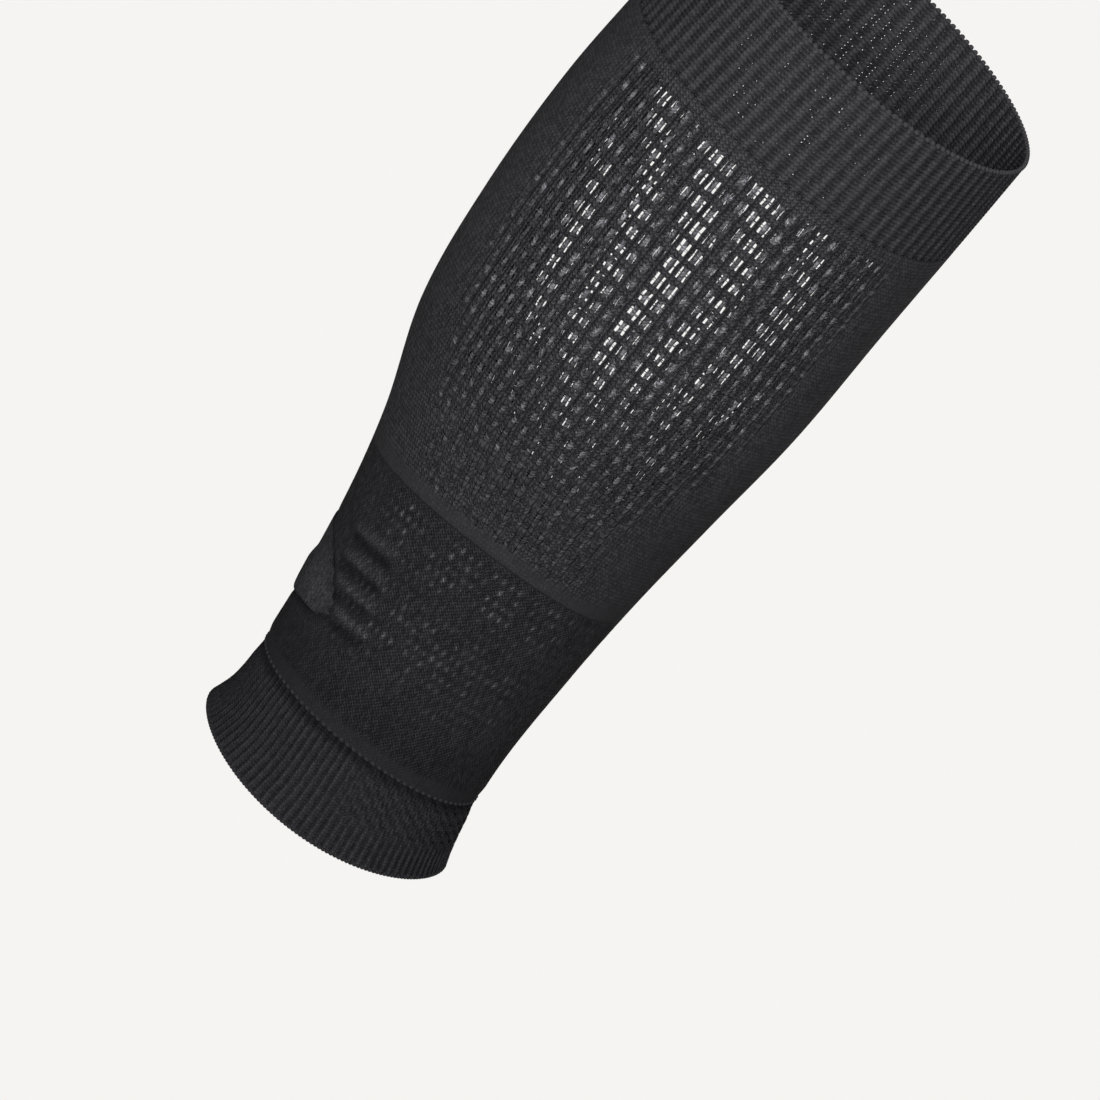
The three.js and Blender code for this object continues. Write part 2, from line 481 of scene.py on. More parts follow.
class OpenworkTree(KnitTree):
    """Columns of slit windows between strips with a groove down their middle."""

    NAME = "Openwork knit"
    SIZES = {"Window Size": 1, "Groove Depth": MM, "Groove Share": 1, "Wall": MM}
    READS = {"FLOAT": ("rib", "relief", "open", "raise"), **PIERCED_READS}
    GROOVE_SHADE = 0.55

    def shape(self) -> Field:
        """Sinks the grooves, draws the windows to their size, cuts them out and adds the wall.

        Returns:
            The pierced wall.
        """
        groove = self.sheet["rib"].swing().fall(0.0, self.given["Groove Share"]) * self.sheet["relief"]
        height = self.sheet["raise"] - groove * self.given["Groove Depth"]
        sheet = self.moved(height, self.drawn(self.sheet["open"] * self.given["Window Size"]))
        # The grooves are painted darker: painted shade
        lit = 1 - groove * self.GROOVE_SHADE
        return self.walled(self.pierced(self.stored(sheet, "lift", lit)))


class FleckTree(KnitTree):
    """Close knit with staggered tuck stitches that stand out as small light flecks."""

    NAME = "Fleck knit"
    SIZES = {"Fleck Height": MM, "Wall": MM}
    READS = {"FLOAT": ("rib", "rung", "strength", "raise", "glow"), "FLOAT_VECTOR": ("out",)}
    # Where a fleck starts to fade and ends, from its middle, as shares of a column and of a row
    FADE_ACROSS = (0.04, 0.3)
    FADE_ALONG = (0.06, 0.34)
    LEAST_HATCH = 0.25

    def shape(self) -> Field:
        """Raises the flecks, hatches the ridges and adds the wall.

        Returns:
            The flecked wall.
        """
        rib = self.sheet["rib"]
        along = self.sheet["rung"].swing().fall(*self.FADE_ALONG)
        fleck = rib.swing().fall(*self.FADE_ACROSS) * along * self.sheet["strength"]
        sheet = self.moved(fleck * self.given["Fleck Height"] + self.sheet["raise"])
        # Flecks take the paler colour, and the ridges get a painted highlight, hatched like the stitches
        hatch = (rib * 2.0).swing() + self.LEAST_HATCH
        return self.walled(self.stored(sheet, "lift", fleck + self.sheet["glow"] * hatch))


class ChainTree(KnitTree):
    """A row of yarn loops along an edge."""

    NAME = "Loop chain"
    SIZES = {"Loops": 1, "Loop Length": MM, "Loop Width": MM, "Loop Lean": math.radians(1)}
    BALL = {"Segments": 8, "Rings": 6, "Radius": 0.5}

    def shape(self) -> Field:
        """Sets one loop after another along the line.

        Returns:
            The row of loops.
        """
        path = self.add("GeometryNodeMeshToCurve", {"Mesh": self.given["Geometry"]})
        count = {"Curve": path, "Count": self.given["Loops"]}
        even = self.add("GeometryNodeResampleCurve", count, mode="COUNT")
        loop = self.add("GeometryNodeMeshUVSphere", self.BALL, "Mesh")
        along = self.add("GeometryNodeInputTangent")
        turned = self.add("FunctionNodeAlignRotationToVector", {"Vector": along}, axis="X")
        tilt = {"Axis": (0.0, 1.0, 0.0), "Angle": self.given["Loop Lean"]}
        lean = self.add("FunctionNodeAxisAngleToRotation", tilt)
        turns = {"Rotation": turned, "Rotate By": lean}
        leaning = self.add("FunctionNodeRotateRotation", turns, rotation_space="LOCAL")
        width = self.given["Loop Width"]
        size = self.add("ShaderNodeCombineXYZ", {0: self.given["Loop Length"], 1: width, 2: width})
        row = {"Points": even, "Instance": loop, "Rotation": leaning, "Scale": size}
        return self.add("GeometryNodeInstanceOnPoints", row)


# Finishes


class Shader(Nodes):
    """A material and its node tree."""

    def __init__(self, name: str) -> None:
        """Starts an empty material."""
        self.material = bpy.data.materials.new(name)
        self.material.use_nodes = True
        super().__init__(self.material.node_tree)

    def ended(self, inputs: dict) -> bpy.types.Material:
        """Ends the tree in one surface and gives the material.

        Args:
            inputs: The surface's colour, roughness and so on.

        Returns:
            The finished material.
        """
        surface = self.add("ShaderNodeBsdfPrincipled", inputs)
        self.add("ShaderNodeOutputMaterial", {"Surface": surface})
        return self.material


@dataclass(frozen=True)
class KnitFinish:
    """Nylon and elastane yarn, knitted: matt, with the small V stitches of each wale.

    Real fibres are far too fine to show, so they are drawn about half a millimetre wide.
    """

    name: str
    crest: str
    valley: str
    gap: float
    bump_mm: float
    slant: float = 0.5
    rail: float = 1.0
    rail_slope: float = 2.5
    sway: float = 0.3
    sway_mm: float = 2.6
    speckle: float = 0.5
    groove_wales: float = 3.0
    groove_share: float = 0.06
    groove_shade_tone: float = 0.78
    plain_tone: float = 0.78
    # How much paler the inner faces are painted: painted light inside the tube, where little real light
    # reaches
    painted_inside_light_gain: float = 1.2
    fibre_mm: float = 0.45
    fibre_gain: float = 0.7
    fibre_bump: float = 0.35
    patch_mm: float = 9.0
    patch_gain: float = 0.14
    roughness: float = 0.9
    specular: float = 0.02

    def material(self) -> bpy.types.Material:
        """Makes the material.

        Returns:
            A material that reads the sheet's knit, lift, relief, plain, shade and inner attributes.
        """
        shader = Shader(self.name)
        knit = shader.add("ShaderNodeAttribute", output="Vector", attribute_name="knit")
        lift, relief, plain, shade, inner = (
            shader.add("ShaderNodeAttribute", output="Fac", attribute_name=label)
            for label in ("lift", "relief", "plain", "shade", "inner")
        )
        where = shader.add("ShaderNodeTexCoord", output="Object")
        # Stitches don't lie quite straight, so their places sway a little
        swing = {"Vector": where, "Scale": 1 / (self.sway_mm * MM), "Detail": 2.0}
        drift = shader.add("ShaderNodeTexNoise", swing, "Color")
        sway = {0: drift, 1: (self.sway,) * 3, 2: knit}
        swayed = shader.add("ShaderNodeVectorMath", sway, operation="MULTIPLY_ADD")
        across = shader.add("ShaderNodeSeparateXYZ", {0: swayed})
        along = across[1]
        # One wale is a column of V stitches: two legs of yarn that lean to the wale's middle
        wale = across.swing() * 2.0
        leg = wale * self.slant + along
        rail = (wale * self.rail_slope).at_most(1.0) * self.rail + (1 - self.rail)
        stitch = (leg.swing() * 2.0) ** 0.5 * rail
        # A float of yarn is drawn in after every few wales, and leaves a groove that is painted darker as
        # painted shade
        aside = (across / self.groove_wales).swing() / self.groove_share
        sunk = (1 - (aside**2.0).at_most(1.0)) * relief
        groove = 1 - sunk * (1 - self.groove_shade_tone)
        # Each stitch catches the light a little differently, and fibres roughen all of them
        cell = shader.add("ShaderNodeCombineXYZ", {0: (across * 2.0).whole(), 1: leg.whole()})
        chance = shader.add("ShaderNodeTexWhiteNoise", {"Vector": cell}, "Value")
        fine = {"Vector": where, "Scale": 1 / (self.fibre_mm * MM), "Detail": 3.0, "Roughness": 0.65}
        fibre = shader.add("ShaderNodeTexNoise", fine)
        broad = {"Vector": where, "Scale": 1 / (self.patch_mm * MM), "Detail": 1.0}
        patch = shader.add("ShaderNodeTexNoise", broad)
        rough = 1 - plain
        stitched = stitch * (1 - self.gap) + self.gap
        tone = stitched * chance.varied(self.speckle) * rough + plain * self.plain_tone
        tone = tone * fibre.varied(self.fibre_gain) * patch.varied(self.patch_gain)
        # Painted shade from the grooves and the shade attribute, which paints light where it is below 0,
        # and painted light on the inner faces
        tone = tone * groove * (1 - shade) * (inner * (self.painted_inside_light_gain - 1) + 1.0)
        # The lift mixes the darker and the paler colour: flecks and crests, and in places painted light
        # and shade
        colours = {0: lift, 6: linear(self.valley), 7: linear(self.crest)}
        depth = shader.add("ShaderNodeMix", colours, 2, data_type="RGBA", clamp_factor=True)
        height = fibre * self.fibre_bump + stitch * groove * rough
        relief_bump = {"Height": height, "Distance": self.bump_mm * MM, "Strength": 1.0}
        return shader.ended(
            {
                "Base Color": depth.scaled(tone),
                "Roughness": self.roughness,
                "Specular IOR Level": self.specular,
                "Normal": shader.add("ShaderNodeBump", relief_bump),
            }
        )


@dataclass(frozen=True)
class YarnFinish:
    """A single loop of nylon yarn: matt, with a grain of plies drawn coarse enough to show."""

    name: str
    colour: str
    ply_mm: float = 0.4
    ply_gain: float = 0.7
    bump_mm: float = 0.2
    roughness: float = 0.88
    specular: float = 0.02

    def material(self) -> bpy.types.Material:
        """Makes the material.

        Returns:
            A material that reads Object coordinates.
        """
        shader = Shader(self.name)
        where = shader.add("ShaderNodeTexCoord", output="Object")
        grain = {"Vector": where, "Scale": 1 / (self.ply_mm * MM), "Detail": 2.0}
        ply = shader.add("ShaderNodeTexNoise", grain)
        tint = {0: linear(self.colour)[:3], "Scale": ply.varied(self.ply_gain)}
        return shader.ended(
            {
                "Base Color": shader.add("ShaderNodeVectorMath", tint, operation="SCALE"),
                "Roughness": self.roughness,
                "Specular IOR Level": self.specular,
                "Normal": shader.add("ShaderNodeBump", {"Height": ply, "Distance": self.bump_mm * MM}),
            }
        )


class Finish(Enum):
    """The finishes of the sleeve."""

    # Rib knit of dull nylon: soft charcoal ridges, with valleys painted dark as painted shade, and rungs
    # across them painted paler as painted light
    UPPER_CUFF = KnitFinish(
        "Nylon rib knit", "#2d2d2f", "#18181a", gap=0.6, bump_mm=0.35, slant=0.3, rail=0.4
    )
    # Openwork of the same yarn: a dry, grainy black outside; its inner faces and the threads across its
    # slits are painted much paler, as painted light
    CALF = KnitFinish(
        "Nylon openwork knit", "#2e2e30", "#121214", gap=0.42, bump_mm=0.5, rail=0.75, speckle=0.7,
        plain_tone=0.56, painted_inside_light_gain=7.0, fibre_mm=0.5, fibre_gain=1.4,
    )
    # Close knit with tucked stitches: near black, with small grey flecks where a tuck stands out
    ANKLE = KnitFinish(
        "Nylon close knit", "#5b5b5f", "#222224", gap=0.3, bump_mm=0.55, sway=0.5, sway_mm=4.0,
        slant=0.9, rail=0.5, speckle=0.7, plain_tone=0.68, painted_inside_light_gain=1.5, fibre_mm=0.6,
        fibre_gain=1.0,
    )
    # Plain knit stretched over a pad: an even dark grey with a faint felted grain, painted paler on its
    # swell and towards its sides as painted light
    PAD = KnitFinish(
        "Nylon plain knit on a pad", "#2e2e30", "#1d1d1f", gap=0.75, bump_mm=0.2, speckle=0.6,
        fibre_mm=0.9, fibre_gain=2.0,
    )
    # Fine rib knit: narrow dull cords, with the lines between them painted black as painted shade
    LOWER_CUFF = KnitFinish(
        "Nylon fine rib knit", "#222224", "#0e0e10", gap=0.6, bump_mm=0.3, fibre_gain=1.1
    )
    # Single yarns: rows of small dull loops, a little paler at the rim
    RIM_YARN = YarnFinish("Nylon welt yarn", "#2b2b2d")
    SEAM_YARN = YarnFinish("Nylon linking yarn", "#1f1f21")
    HEM_YARN = YarnFinish("Nylon hem yarn", "#1d1d1f")


# Meshes


def add_object(name: str, data: bpy.types.ID) -> bpy.types.Object:
    """Makes an object and links it to the scene.

    Args:
        name: The object's name.
        data: Its mesh, camera or light.

    Returns:
        The object.
    """
    made = bpy.data.objects.new(name, data)
    bpy.context.scene.collection.objects.link(made)
    return made


def add_mesh(name: str, points: Array, faces: list, edges: list | None = None) -> bpy.types.Object:
    """Makes a mesh object.

    Args:
        name: The object's name.
        points: Its points, in metres.
        faces: The points of each face.
        edges: The points of each loose edge.

    Returns:
        The object, linked to the scene.
    """
    mesh = bpy.data.meshes.new(name)
    mesh.from_pydata(np.reshape(points, (-1, 3)).tolist(), edges or [], faces)
    return add_object(name, mesh)


def keep(
    piece: bpy.types.Object, name: str, values: Array, kind: str = "FLOAT", domain: str = "POINT"
) -> None:
    """Keeps values on a mesh for the trees and the materials to read.

    Args:
        piece: The object whose mesh it is.
        name: The attribute's name.
        values: A value for each item.
        kind: Blender's name for the type of value.
        domain: Blender's name for the kind of item.
    """
    layer = piece.data.attributes.new(name, kind, domain)
    plain = values.astype(bool if kind == "BOOLEAN" else np.float32).ravel()
    layer.data.foreach_set("vector" if kind == "FLOAT_VECTOR" else "value", plain)


@dataclass
class KnitGrid:
    """A tube of knit as a grid of quads: rows of points up the leg, columns round it.

    Attributes:
        angles: The angle of each point.
        heights: The height of each point.
        wales: The count of wales at each column, and once more where the tube closes.
        courses: The count of courses at each row.
        numbers: Further numbers on the points, by name.
        close: The vectors that would draw each hole shut.
        holes: Which quads are cut out.
    """

    angles: Array
    heights: Array
    wales: Array
    courses: Array
    numbers: dict[str, Array]
    close: Array | None = None
    holes: Array | None = None

    def build(self, name: str, form: LegForm) -> bpy.types.Object:
        """Makes the sheet's mesh with all its attributes.

        Args:
            name: The object's name.
            form: The surface that the sheet lies on.

        Returns:
            The object, linked to the scene.
        """
        rows, columns = self.angles.shape
        index = np.arange(rows * columns).reshape(rows, columns)
        beside = np.roll(index, -1, axis=1)
        quads = np.stack([index[:-1], beside[:-1], beside[1:], index[1:]], axis=-1)
        points = form.skin(self.angles, self.heights) * MM
        piece = add_mesh(name, points, quads.reshape(-1, 4).tolist())
        keep(piece, "out", form.outward(self.angles, self.heights), "FLOAT_VECTOR")
        if self.holes is not None:
            keep(piece, "close", self.close * MM, "FLOAT_VECTOR")
            keep(piece, "hole", self.holes, "BOOLEAN", "FACE")
        for label, values in self.numbers.items():
            keep(piece, label, values)
        left, right = self.wales[:-1], self.wales[1:]
        low, high = self.courses[:-1], self.courses[1:]
        knit = np.zeros((rows - 1, columns, 4, 3))
        knit[..., 0] = np.stack([left, right, right, left], axis=-1)[None, :, :]
        knit[..., 1] = np.stack([low, low, high, high], axis=-1)[:, None, :]
        keep(piece, "knit", knit, "FLOAT_VECTOR", "CORNER")
        return piece


def between(low: Border, high: Border, angles: Array, shares: Array) -> Array:
    """Heights of a grid between two borders.

    Args:
        low: The lower border.
        high: The upper border.
        angles: The angle of each point, as rows and columns.
        shares: How far up each point lies, from 0 to 1.

    Returns:
        The height of each point.
    """
    bottom = low.value.height(angles)
    top = high.value.height(angles)
    return bottom + (top - bottom) * shares


def hole_middles(points: Array, holes: Array) -> Array:
    """The vectors from the corners of each hole to its middle.

    Args:
        points: The grid's points, as rows and columns.
        holes: Which quads are cut out.

    Returns:
        A vector for each point, which is zero away from the holes.
    """
    vectors = np.zeros_like(points)
    row, column = np.nonzero(holes)
    beside = (column + 1) % points.shape[1]
    corners = [(row, column), (row, beside), (row + 1, beside), (row + 1, column)]
    middle = sum(points[corner] for corner in corners) / len(corners)
    for corner in corners:
        vectors[corner] = middle - points[corner]
    return vectors


# Sub-assemblies


@dataclass(frozen=True)
class LoopRow:
    """A row of yarn loops along a border: how far off the surface and above the border it lies."""

    name: str
    border: Border
    finish: Finish
    off: float
    up: float
    loops: int
    loop_length: float
    loop_width: float
    loop_lean: float
    line_steps: int = 480

    def build(self, form: LegForm, chain: ChainTree) -> bpy.types.Object:
        """Makes the row on a closed line round the leg.

        Args:
            form: The surface that the line follows.
            chain: The tree for rows of loops.

        Returns:
            The finished row.
        """
        angles = np.arange(self.line_steps) * TURN / self.line_steps
        heights = self.border.value.height(angles) + self.up
        points = (form.skin(angles, heights) + form.outward(angles, heights) * self.off) * MM
        edges = [(i, (i + 1) % self.line_steps) for i in range(self.line_steps)]
        line = add_mesh(self.name, points, [], edges)
        return chain.apply(line, self, self.finish.value.material())


@dataclass
class KnitZone:
    """A zone of the sleeve that is one sheet of knit, with rows of loops at its edges."""

    NODE: ClassVar[str]
    SLOT: ClassVar[str]
    FINISH: ClassVar[Finish]
    CHAINS: ClassVar[tuple[LoopRow, ...]] = ()

    form: LegForm
    flat_mm: Pair
    wall: float

    def grid(self) -> KnitGrid:
        """The sheet's grid, which each zone has of its own."""
        raise NotImplementedError

    def build(self, tree: KnitTree, chain: ChainTree) -> None:
        """Makes and dresses the sheet and its rows of loops, attaches them to the root, hides the part
        that they replace and logs them.

        Args:
            tree: The tree for the zone's kind of knit.
            chain: The tree for rows of loops.
        """
        knit = self.grid().build(f"{self.NODE}_knit", self.form)
        tree.apply(knit, self, self.FINISH.value.material())
        chains = [row.build(self.form, chain) for row in self.CHAINS]
        for piece in (knit, *chains):
            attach(piece, "root")
        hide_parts(self.NODE)
        report(knit, *chains)


@dataclass
class RibCuff(KnitZone):
    """A ribbed cuff: the counts and depths that both cuffs have."""

    low: Border
    high: Border
    ribs: int
    columns_per_rib: int
    wales_per_rib: int
    # Courses are drawn coarser than real ones, so that their stitches show
    course_mm: float
    rib_depth: float
    rung_depth: float
    rung_glow: float
    knot_depth: float
    knot_fill: float
    crest_share: float
    pinhole_size: float
    rows_per_course: int = 2

    def __post_init__(self) -> None:
        """Works out the lines of the grid from the counts."""
        self.columns = self.ribs * self.columns_per_rib
        self.tall = self.high.value.mean - self.low.value.mean
        courses = round(self.tall / self.course_mm)
        self.rows = courses * self.rows_per_course
        self.shares = np.linspace(0, 1, self.rows + 1)
        self.courses = self.shares * courses
        line = np.arange(self.columns)
        self.angles = np.tile(line * TURN / self.columns, (self.rows + 1, 1))
        self.rib = np.tile(line / self.columns_per_rib, (self.rows + 1, 1))
        self.rung = np.tile(self.courses[:, None], (1, self.columns))
        self.wales = np.arange(self.columns + 1) * self.wales_per_rib / self.columns_per_rib + 0.5


@dataclass
class UpperCuff(RibCuff):
    """The ribbed welt below the knee, with its chained rim."""

    NODE = "upper_cuff"
    SLOT = "upper_cuff_knit"
    FINISH = Finish.UPPER_CUFF
    CHAINS = (
        LoopRow(
            "upper_rim_chain", Border.RIM, Finish.RIM_YARN, off=-0.55, up=0.1,
            loops=176, loop_length=2.0, loop_width=1.5, loop_lean=18,
        ),
    )

    flat_mm: Pair = (340, 39)
    wall: float = 0.7
    low: Border = Border.CUFF_END
    high: Border = Border.RIM
    ribs: int = 80
    columns_per_rib: int = 8
    wales_per_rib: int = 3
    course_mm: float = 1.33
    rib_depth: float = 0.38
    rung_depth: float = 0.26
    rung_glow: float = 0.62
    knot_depth: float = 0.3
    knot_fill: float = 0.0
    knot_share: float = 0.2
    crest_share: float = 0.3
    lean: float = 0.17
    lean_radius: float = 64
    # Which columns of a rib have pinholes, and how many rows at both ends have none
    pinhole_columns: tuple[int, int] = (2, 5)
    plain_rows: int = 4
    pinhole_size: float = 0.5
    pinhole_share: float = 0.36
    least_drawn: float = 0.4
    drawn_range: float = 1.2
    near_stretch: Ease = Ease(0.3, 0.7, 0.6)
    seed: int = 11

    def grid(self) -> KnitGrid:
        """The cuff's grid, whose ribs lean a little on the calf side.

        Returns:
            The grid, with its pinholes.
        """
        climb = (self.shares[:, None] - 0.5) * self.tall
        toward_calf = np.sin(self.angles) * (1 - np.cos(self.angles)) / 2
        angles = self.angles - self.lean * toward_calf * climb / self.lean_radius
        heights = between(self.low, self.high, angles, self.shares[:, None])
        chances = np.random.default_rng(self.seed)
        # Some ribs are drawn open more than others
        by_rib = chances.random(self.ribs).repeat(self.columns_per_rib)
        chance = chances.random((self.rows, self.columns))
        likely = self.pinhole_share * (self.least_drawn + self.drawn_range * by_rib)
        column = np.arange(self.columns) % self.columns_per_rib
        row = np.arange(self.rows)
        spots = np.isin(column, self.pinhole_columns)[None, :] & (row % self.rows_per_course == 1)[:, None]
        inside = ((row > self.plain_rows) & (row < self.rows - self.plain_rows))[:, None]
        holes = spots & inside & (chance < likely)
        # The near flank is stretched a little more, so its pinholes are less squeezed
        squeeze = 1 - self.near_stretch.rise(-np.sin(angles))
        close = hole_middles(self.form.skin(angles, heights), holes) * squeeze[..., None]
        level = np.zeros_like(angles)
        numbers = {
            "rib": self.rib,
            "rung": self.rung,
            "turn": self.rung,
            "knot": level + self.knot_share,
            "raise": level,
            "shade": level,
        }
        return KnitGrid(angles, heights, self.wales, self.courses, numbers, close, holes)


@dataclass
class CalfPanel(KnitZone):
    """The openwork panel over the calf, with slit windows on both flanks."""

    NODE = "calf_panel"
    SLOT = "calf_knit"
    FINISH = Finish.CALF

    flat_mm: Pair = (300, 160)
    wall: float = 0.5
    radius: float = 63
    columns: int = 80
    wales_per_column: int = 3
    # Courses are drawn coarser than real ones, so that their stitches show
    course_mm: float = 1.33
    seed: int = 5
    # Columns are knitted a little closer on the far flank, and are plain at the shin and the back
    column_marks: tuple[float, ...] = (0, 6, 34, 46, 74, 80)
    angle_marks: tuple[float, ...] = (2.25, 28.0, 148.6, 207.46, 336.5, 362.25)
    far_side: Ease = Ease(-0.4, 0.4)
    # Lines of a window column: its groove, then the edges of its two slits
    slit_lines: tuple[float, ...] = (0.0, 0.168, 0.378, 0.622, 0.832)
    plain_lines: tuple[float, ...] = (0.0, 1 / 3, 2 / 3)
    # Rows of windows, counted from the cuff, and the plain rows of points below and above them
    window_rows: int = 25
    plain_rows: tuple[int, int] = (4, 3)
    first_row: float = 26.5
    first_pitch: float = 7.2
    pitch_fall: float = 0.108
    far_first_row: float = 26.0
    far_pitch: float = 8.03
    far_pitch_fall: float = 0.15
    far_pitch_most: float = 7.3
    far_close_row: int = 22
    far_close_pitch: float = 3.0
    # A window's share of its row, how much shorter it is drawn in, and how slits bend and step
    window_share: float = 0.74
    window_size: float = 1.0
    slit_shorten: float = 0.28
    slit_bend: float = 0.12
    slit_step: float = 0.28
    # The thread across a slit, the share of slits that have a full one, and what a hair's edges lose
    thread: float = 0.34
    thread_step: float = 0.45
    thread_share: float = 0.35
    hair_loss: float = 0.42
    # How far open the slits are, in degrees from the flank's middle and in rows
    flank_middle: float = 92
    flank_reach: float = 59
    reach_loss: Ease = Ease(9, 20, 11)
    side_shut: Ease = Ease(-20, 0, 0.97)
    ankle_shut: Ease = Ease(11, 22, 0.72)
    open_chance: float = 0.18
    least_open: float = 0.16
    # Painted light on the threads, which fades in the lower rows and on narrow slits
    mesh_glow: float = 2.4
    glow_drop: Ease = Ease(10, 17, 0.9)
    glow_loss: Ease = Ease(16, 24, 0.6)
    glow_slope: float = 2.6
    # The groove down each strip, and where it fades: at the sides in degrees, below and above in mm
    groove_depth: float = 0.11
    groove_share: float = 0.13
    groove_sides: Ease = Ease(45, 62)
    groove_foot: Ease = Ease(55, 105)
    groove_head: Ease = Ease(28, 32, 0.6)
    # The plain band above the ankle, and the shade towards it
    band: Ease = Ease(4, 8, 0.75)
    low_shade: Ease = Ease(40, 90, 0.18)

    def angle_of(self, places: Array) -> Array:
        """The angle round the leg of places counted in columns."""
        return np.radians(np.interp(places, self.column_marks, self.angle_marks))

    def lines(self) -> tuple[Array, Array]:
        """The lines of points round the leg.

        Returns:
            Where each line lies, counted in columns, and its number within an open column, or -1
            in a plain one.
        """
        _, far_start, far_end, near_start, near_end, _ = self.column_marks
        places: list[float] = []
        kinds: list[int] = []
        for column in range(self.columns):
            is_open = far_start <= column < far_end or near_start <= column < near_end
            shares = self.slit_lines if is_open else self.plain_lines
            places.extend(column + share for share in shares)
            kinds.extend(range(len(shares)) if is_open else [-1] * len(shares))
        return np.array(places), np.array(kinds)

    def pitches(self) -> tuple[Array, Array]:
        """The steps between the window rows.

        Returns:
            The steps on the near flank, and on the far one.
        """
        row = np.arange(self.window_rows)
        near = self.first_pitch - self.pitch_fall * row
        far = np.minimum(self.far_pitch_most, self.far_pitch - self.far_pitch_fall * row)
        far[self.far_close_row :] = self.far_close_pitch
        return near, far

    def flank_heights(self, first: float, pitches: Array) -> Array:
        """Heights of the rows of points on one flank, from the ankle to the cuff.

        Args:
            first: The height of the uppermost window row.
            pitches: The step below each row.

        Returns:
            Plain rows, then the foot, thread and head of each window row, then plain rows again.
        """
        flank = np.array(TURN / 4)
        bottom = float(Border.ANKLE_TOP.value.height(flank))
        top = float(Border.CUFF_END.value.height(flank))
        middles = (first - np.concatenate([[0], np.cumsum(pitches[:-1])]))[::-1]
        halves = (pitches * self.window_share / 2)[::-1]
        thread = self.thread / 2
        lines = [middles - halves, middles - thread, middles + thread, middles + halves]
        windows = np.stack(lines, axis=1).ravel()
        below, above = self.plain_rows
        low = np.linspace(bottom, windows[0], below + 1)[:-1]
        high = np.linspace(windows[-1], top, above + 1)[1:]
        return np.concatenate([low, windows, high])

    def openness(self, angles: Array, rows: Array) -> Array:
        """How far each slit is open, which falls towards the ankle, the shin and the back.

        Args:
            angles: The middle angle of each slit's column.
            rows: The number of each window row.

        Returns:
            Shares from 0 to 1, for each row and slit.
        """
        aside = np.abs(degrees_from_back(angles) - self.flank_middle)
        reach = self.flank_reach - self.reach_loss.rise(rows)
        past = aside[None, :] - reach[:, None]
        round_leg = 1 - self.side_shut.rise(past)
        down_leg = 1 - self.ankle_shut.rise(rows)
        chances = np.random.default_rng(self.seed)
        chance = chances.uniform(-self.open_chance, self.open_chance, past.shape)
        share = down_leg[:, None] * round_leg + chance * round_leg
        return np.where(share < self.least_open, 0, np.clip(share, 0, 1))

    def thread_glow(self, row: Array, share_open: Array) -> Array:
        """How much light a thread catches.

        Args:
            row: The window row of each row of points.
            share_open: How far the slit at each point is open.

        Returns:
            The most that a thread at each point is lightened by.
        """
        glow = (self.mesh_glow - self.glow_drop.rise(row)) * (1 - self.glow_loss.rise(row))
        return 2 * glow[:, None] * np.minimum(self.glow_slope * share_open, 1)

    def groove_relief(self, angles: Array, heights: Array) -> Array:
        """How deep the grooves are, which fade towards the panel's edges.

        Args:
            angles: The angle of each point.
            heights: The height of each point.

        Returns:
            Shares from 0 to 1.
        """
        sides = self.groove_sides.fall(degrees_from_flank(angles))
        return sides * self.groove_foot.fall(-heights) * (1 - self.groove_head.rise(heights))

    def grid(self) -> KnitGrid:
        """The panel's grid, with the vectors that draw each window shut.

        Returns:
            The grid, with its windows.
        """
        places, kinds = self.lines()
        near_pitches, far_pitches = self.pitches()
        near_heights = self.flank_heights(self.first_row, near_pitches)
        far_heights = self.flank_heights(self.far_first_row, far_pitches)
        angles = np.tile(self.angle_of(places), (len(near_heights), 1))
        far = self.far_side.rise(np.sin(angles))
        mixed = near_heights[:, None] * (1 - far) + far_heights[:, None] * far
        shares = (mixed - near_heights[0]) / (near_heights[-1] - near_heights[0])
        heights = between(Border.ANKLE_TOP, Border.CUFF_END, angles, shares)
        # The window row of each row of points, and its part: foot, thread, thread, head, or -1
        window_row = np.arange(self.window_rows)
        rows = np.pad(window_row[::-1].repeat(4), self.plain_rows, constant_values=-1)
        parts = np.pad(np.tile(np.arange(4), self.window_rows), self.plain_rows, constant_values=-1)
        row = np.maximum(rows, 0)
        slit = 2 * places.astype(int) + (kinds > 2)
        middles = self.angle_of(np.arange(self.columns) + 0.5).repeat(2)
        windows = self.openness(middles, window_row)
        share_open = np.where((rows >= 0)[:, None], windows[row][:, slit], 0)
        # Edges of a slit slide to its middle, and its foot and head come a part of the way
        narrow = (self.slit_lines[2] - self.slit_lines[1]) / 2
        aside = np.array([0, narrow, -narrow, narrow, -narrow, 0])[kinds]
        is_window = (parts >= 0)[:, None] & (kinds > 0)[None, :] & (share_open > 0)
        pitch = near_pitches[row][:, None] * (1 - far) + far_pitches[row][:, None] * far
        upward = np.array([1, 0, 0, -1, 0])[parts][:, None] * self.slit_shorten * pitch * self.window_share
        # Each slit bends a little, and lies a little higher or lower than its neighbours
        chances = np.random.default_rng(self.seed + 1)
        bends = chances.normal(0, 1, (3, self.window_rows, 2 * self.columns))
        bend, step, cross = np.where(is_window, bends[:, row][:, :, slit], 0)
        luck = chances.random((2, self.window_rows, 2 * self.columns))
        bare, catch = np.where(is_window, luck[:, row][:, :, slit], 0)
        is_thread = np.isin(parts, (1, 2))[:, None]
        angles = angles + np.where(is_thread, bend, -bend / 2) * self.slit_bend / self.radius
        heights = heights + step * self.slit_step + np.where(is_thread, cross, 0) * self.thread_step
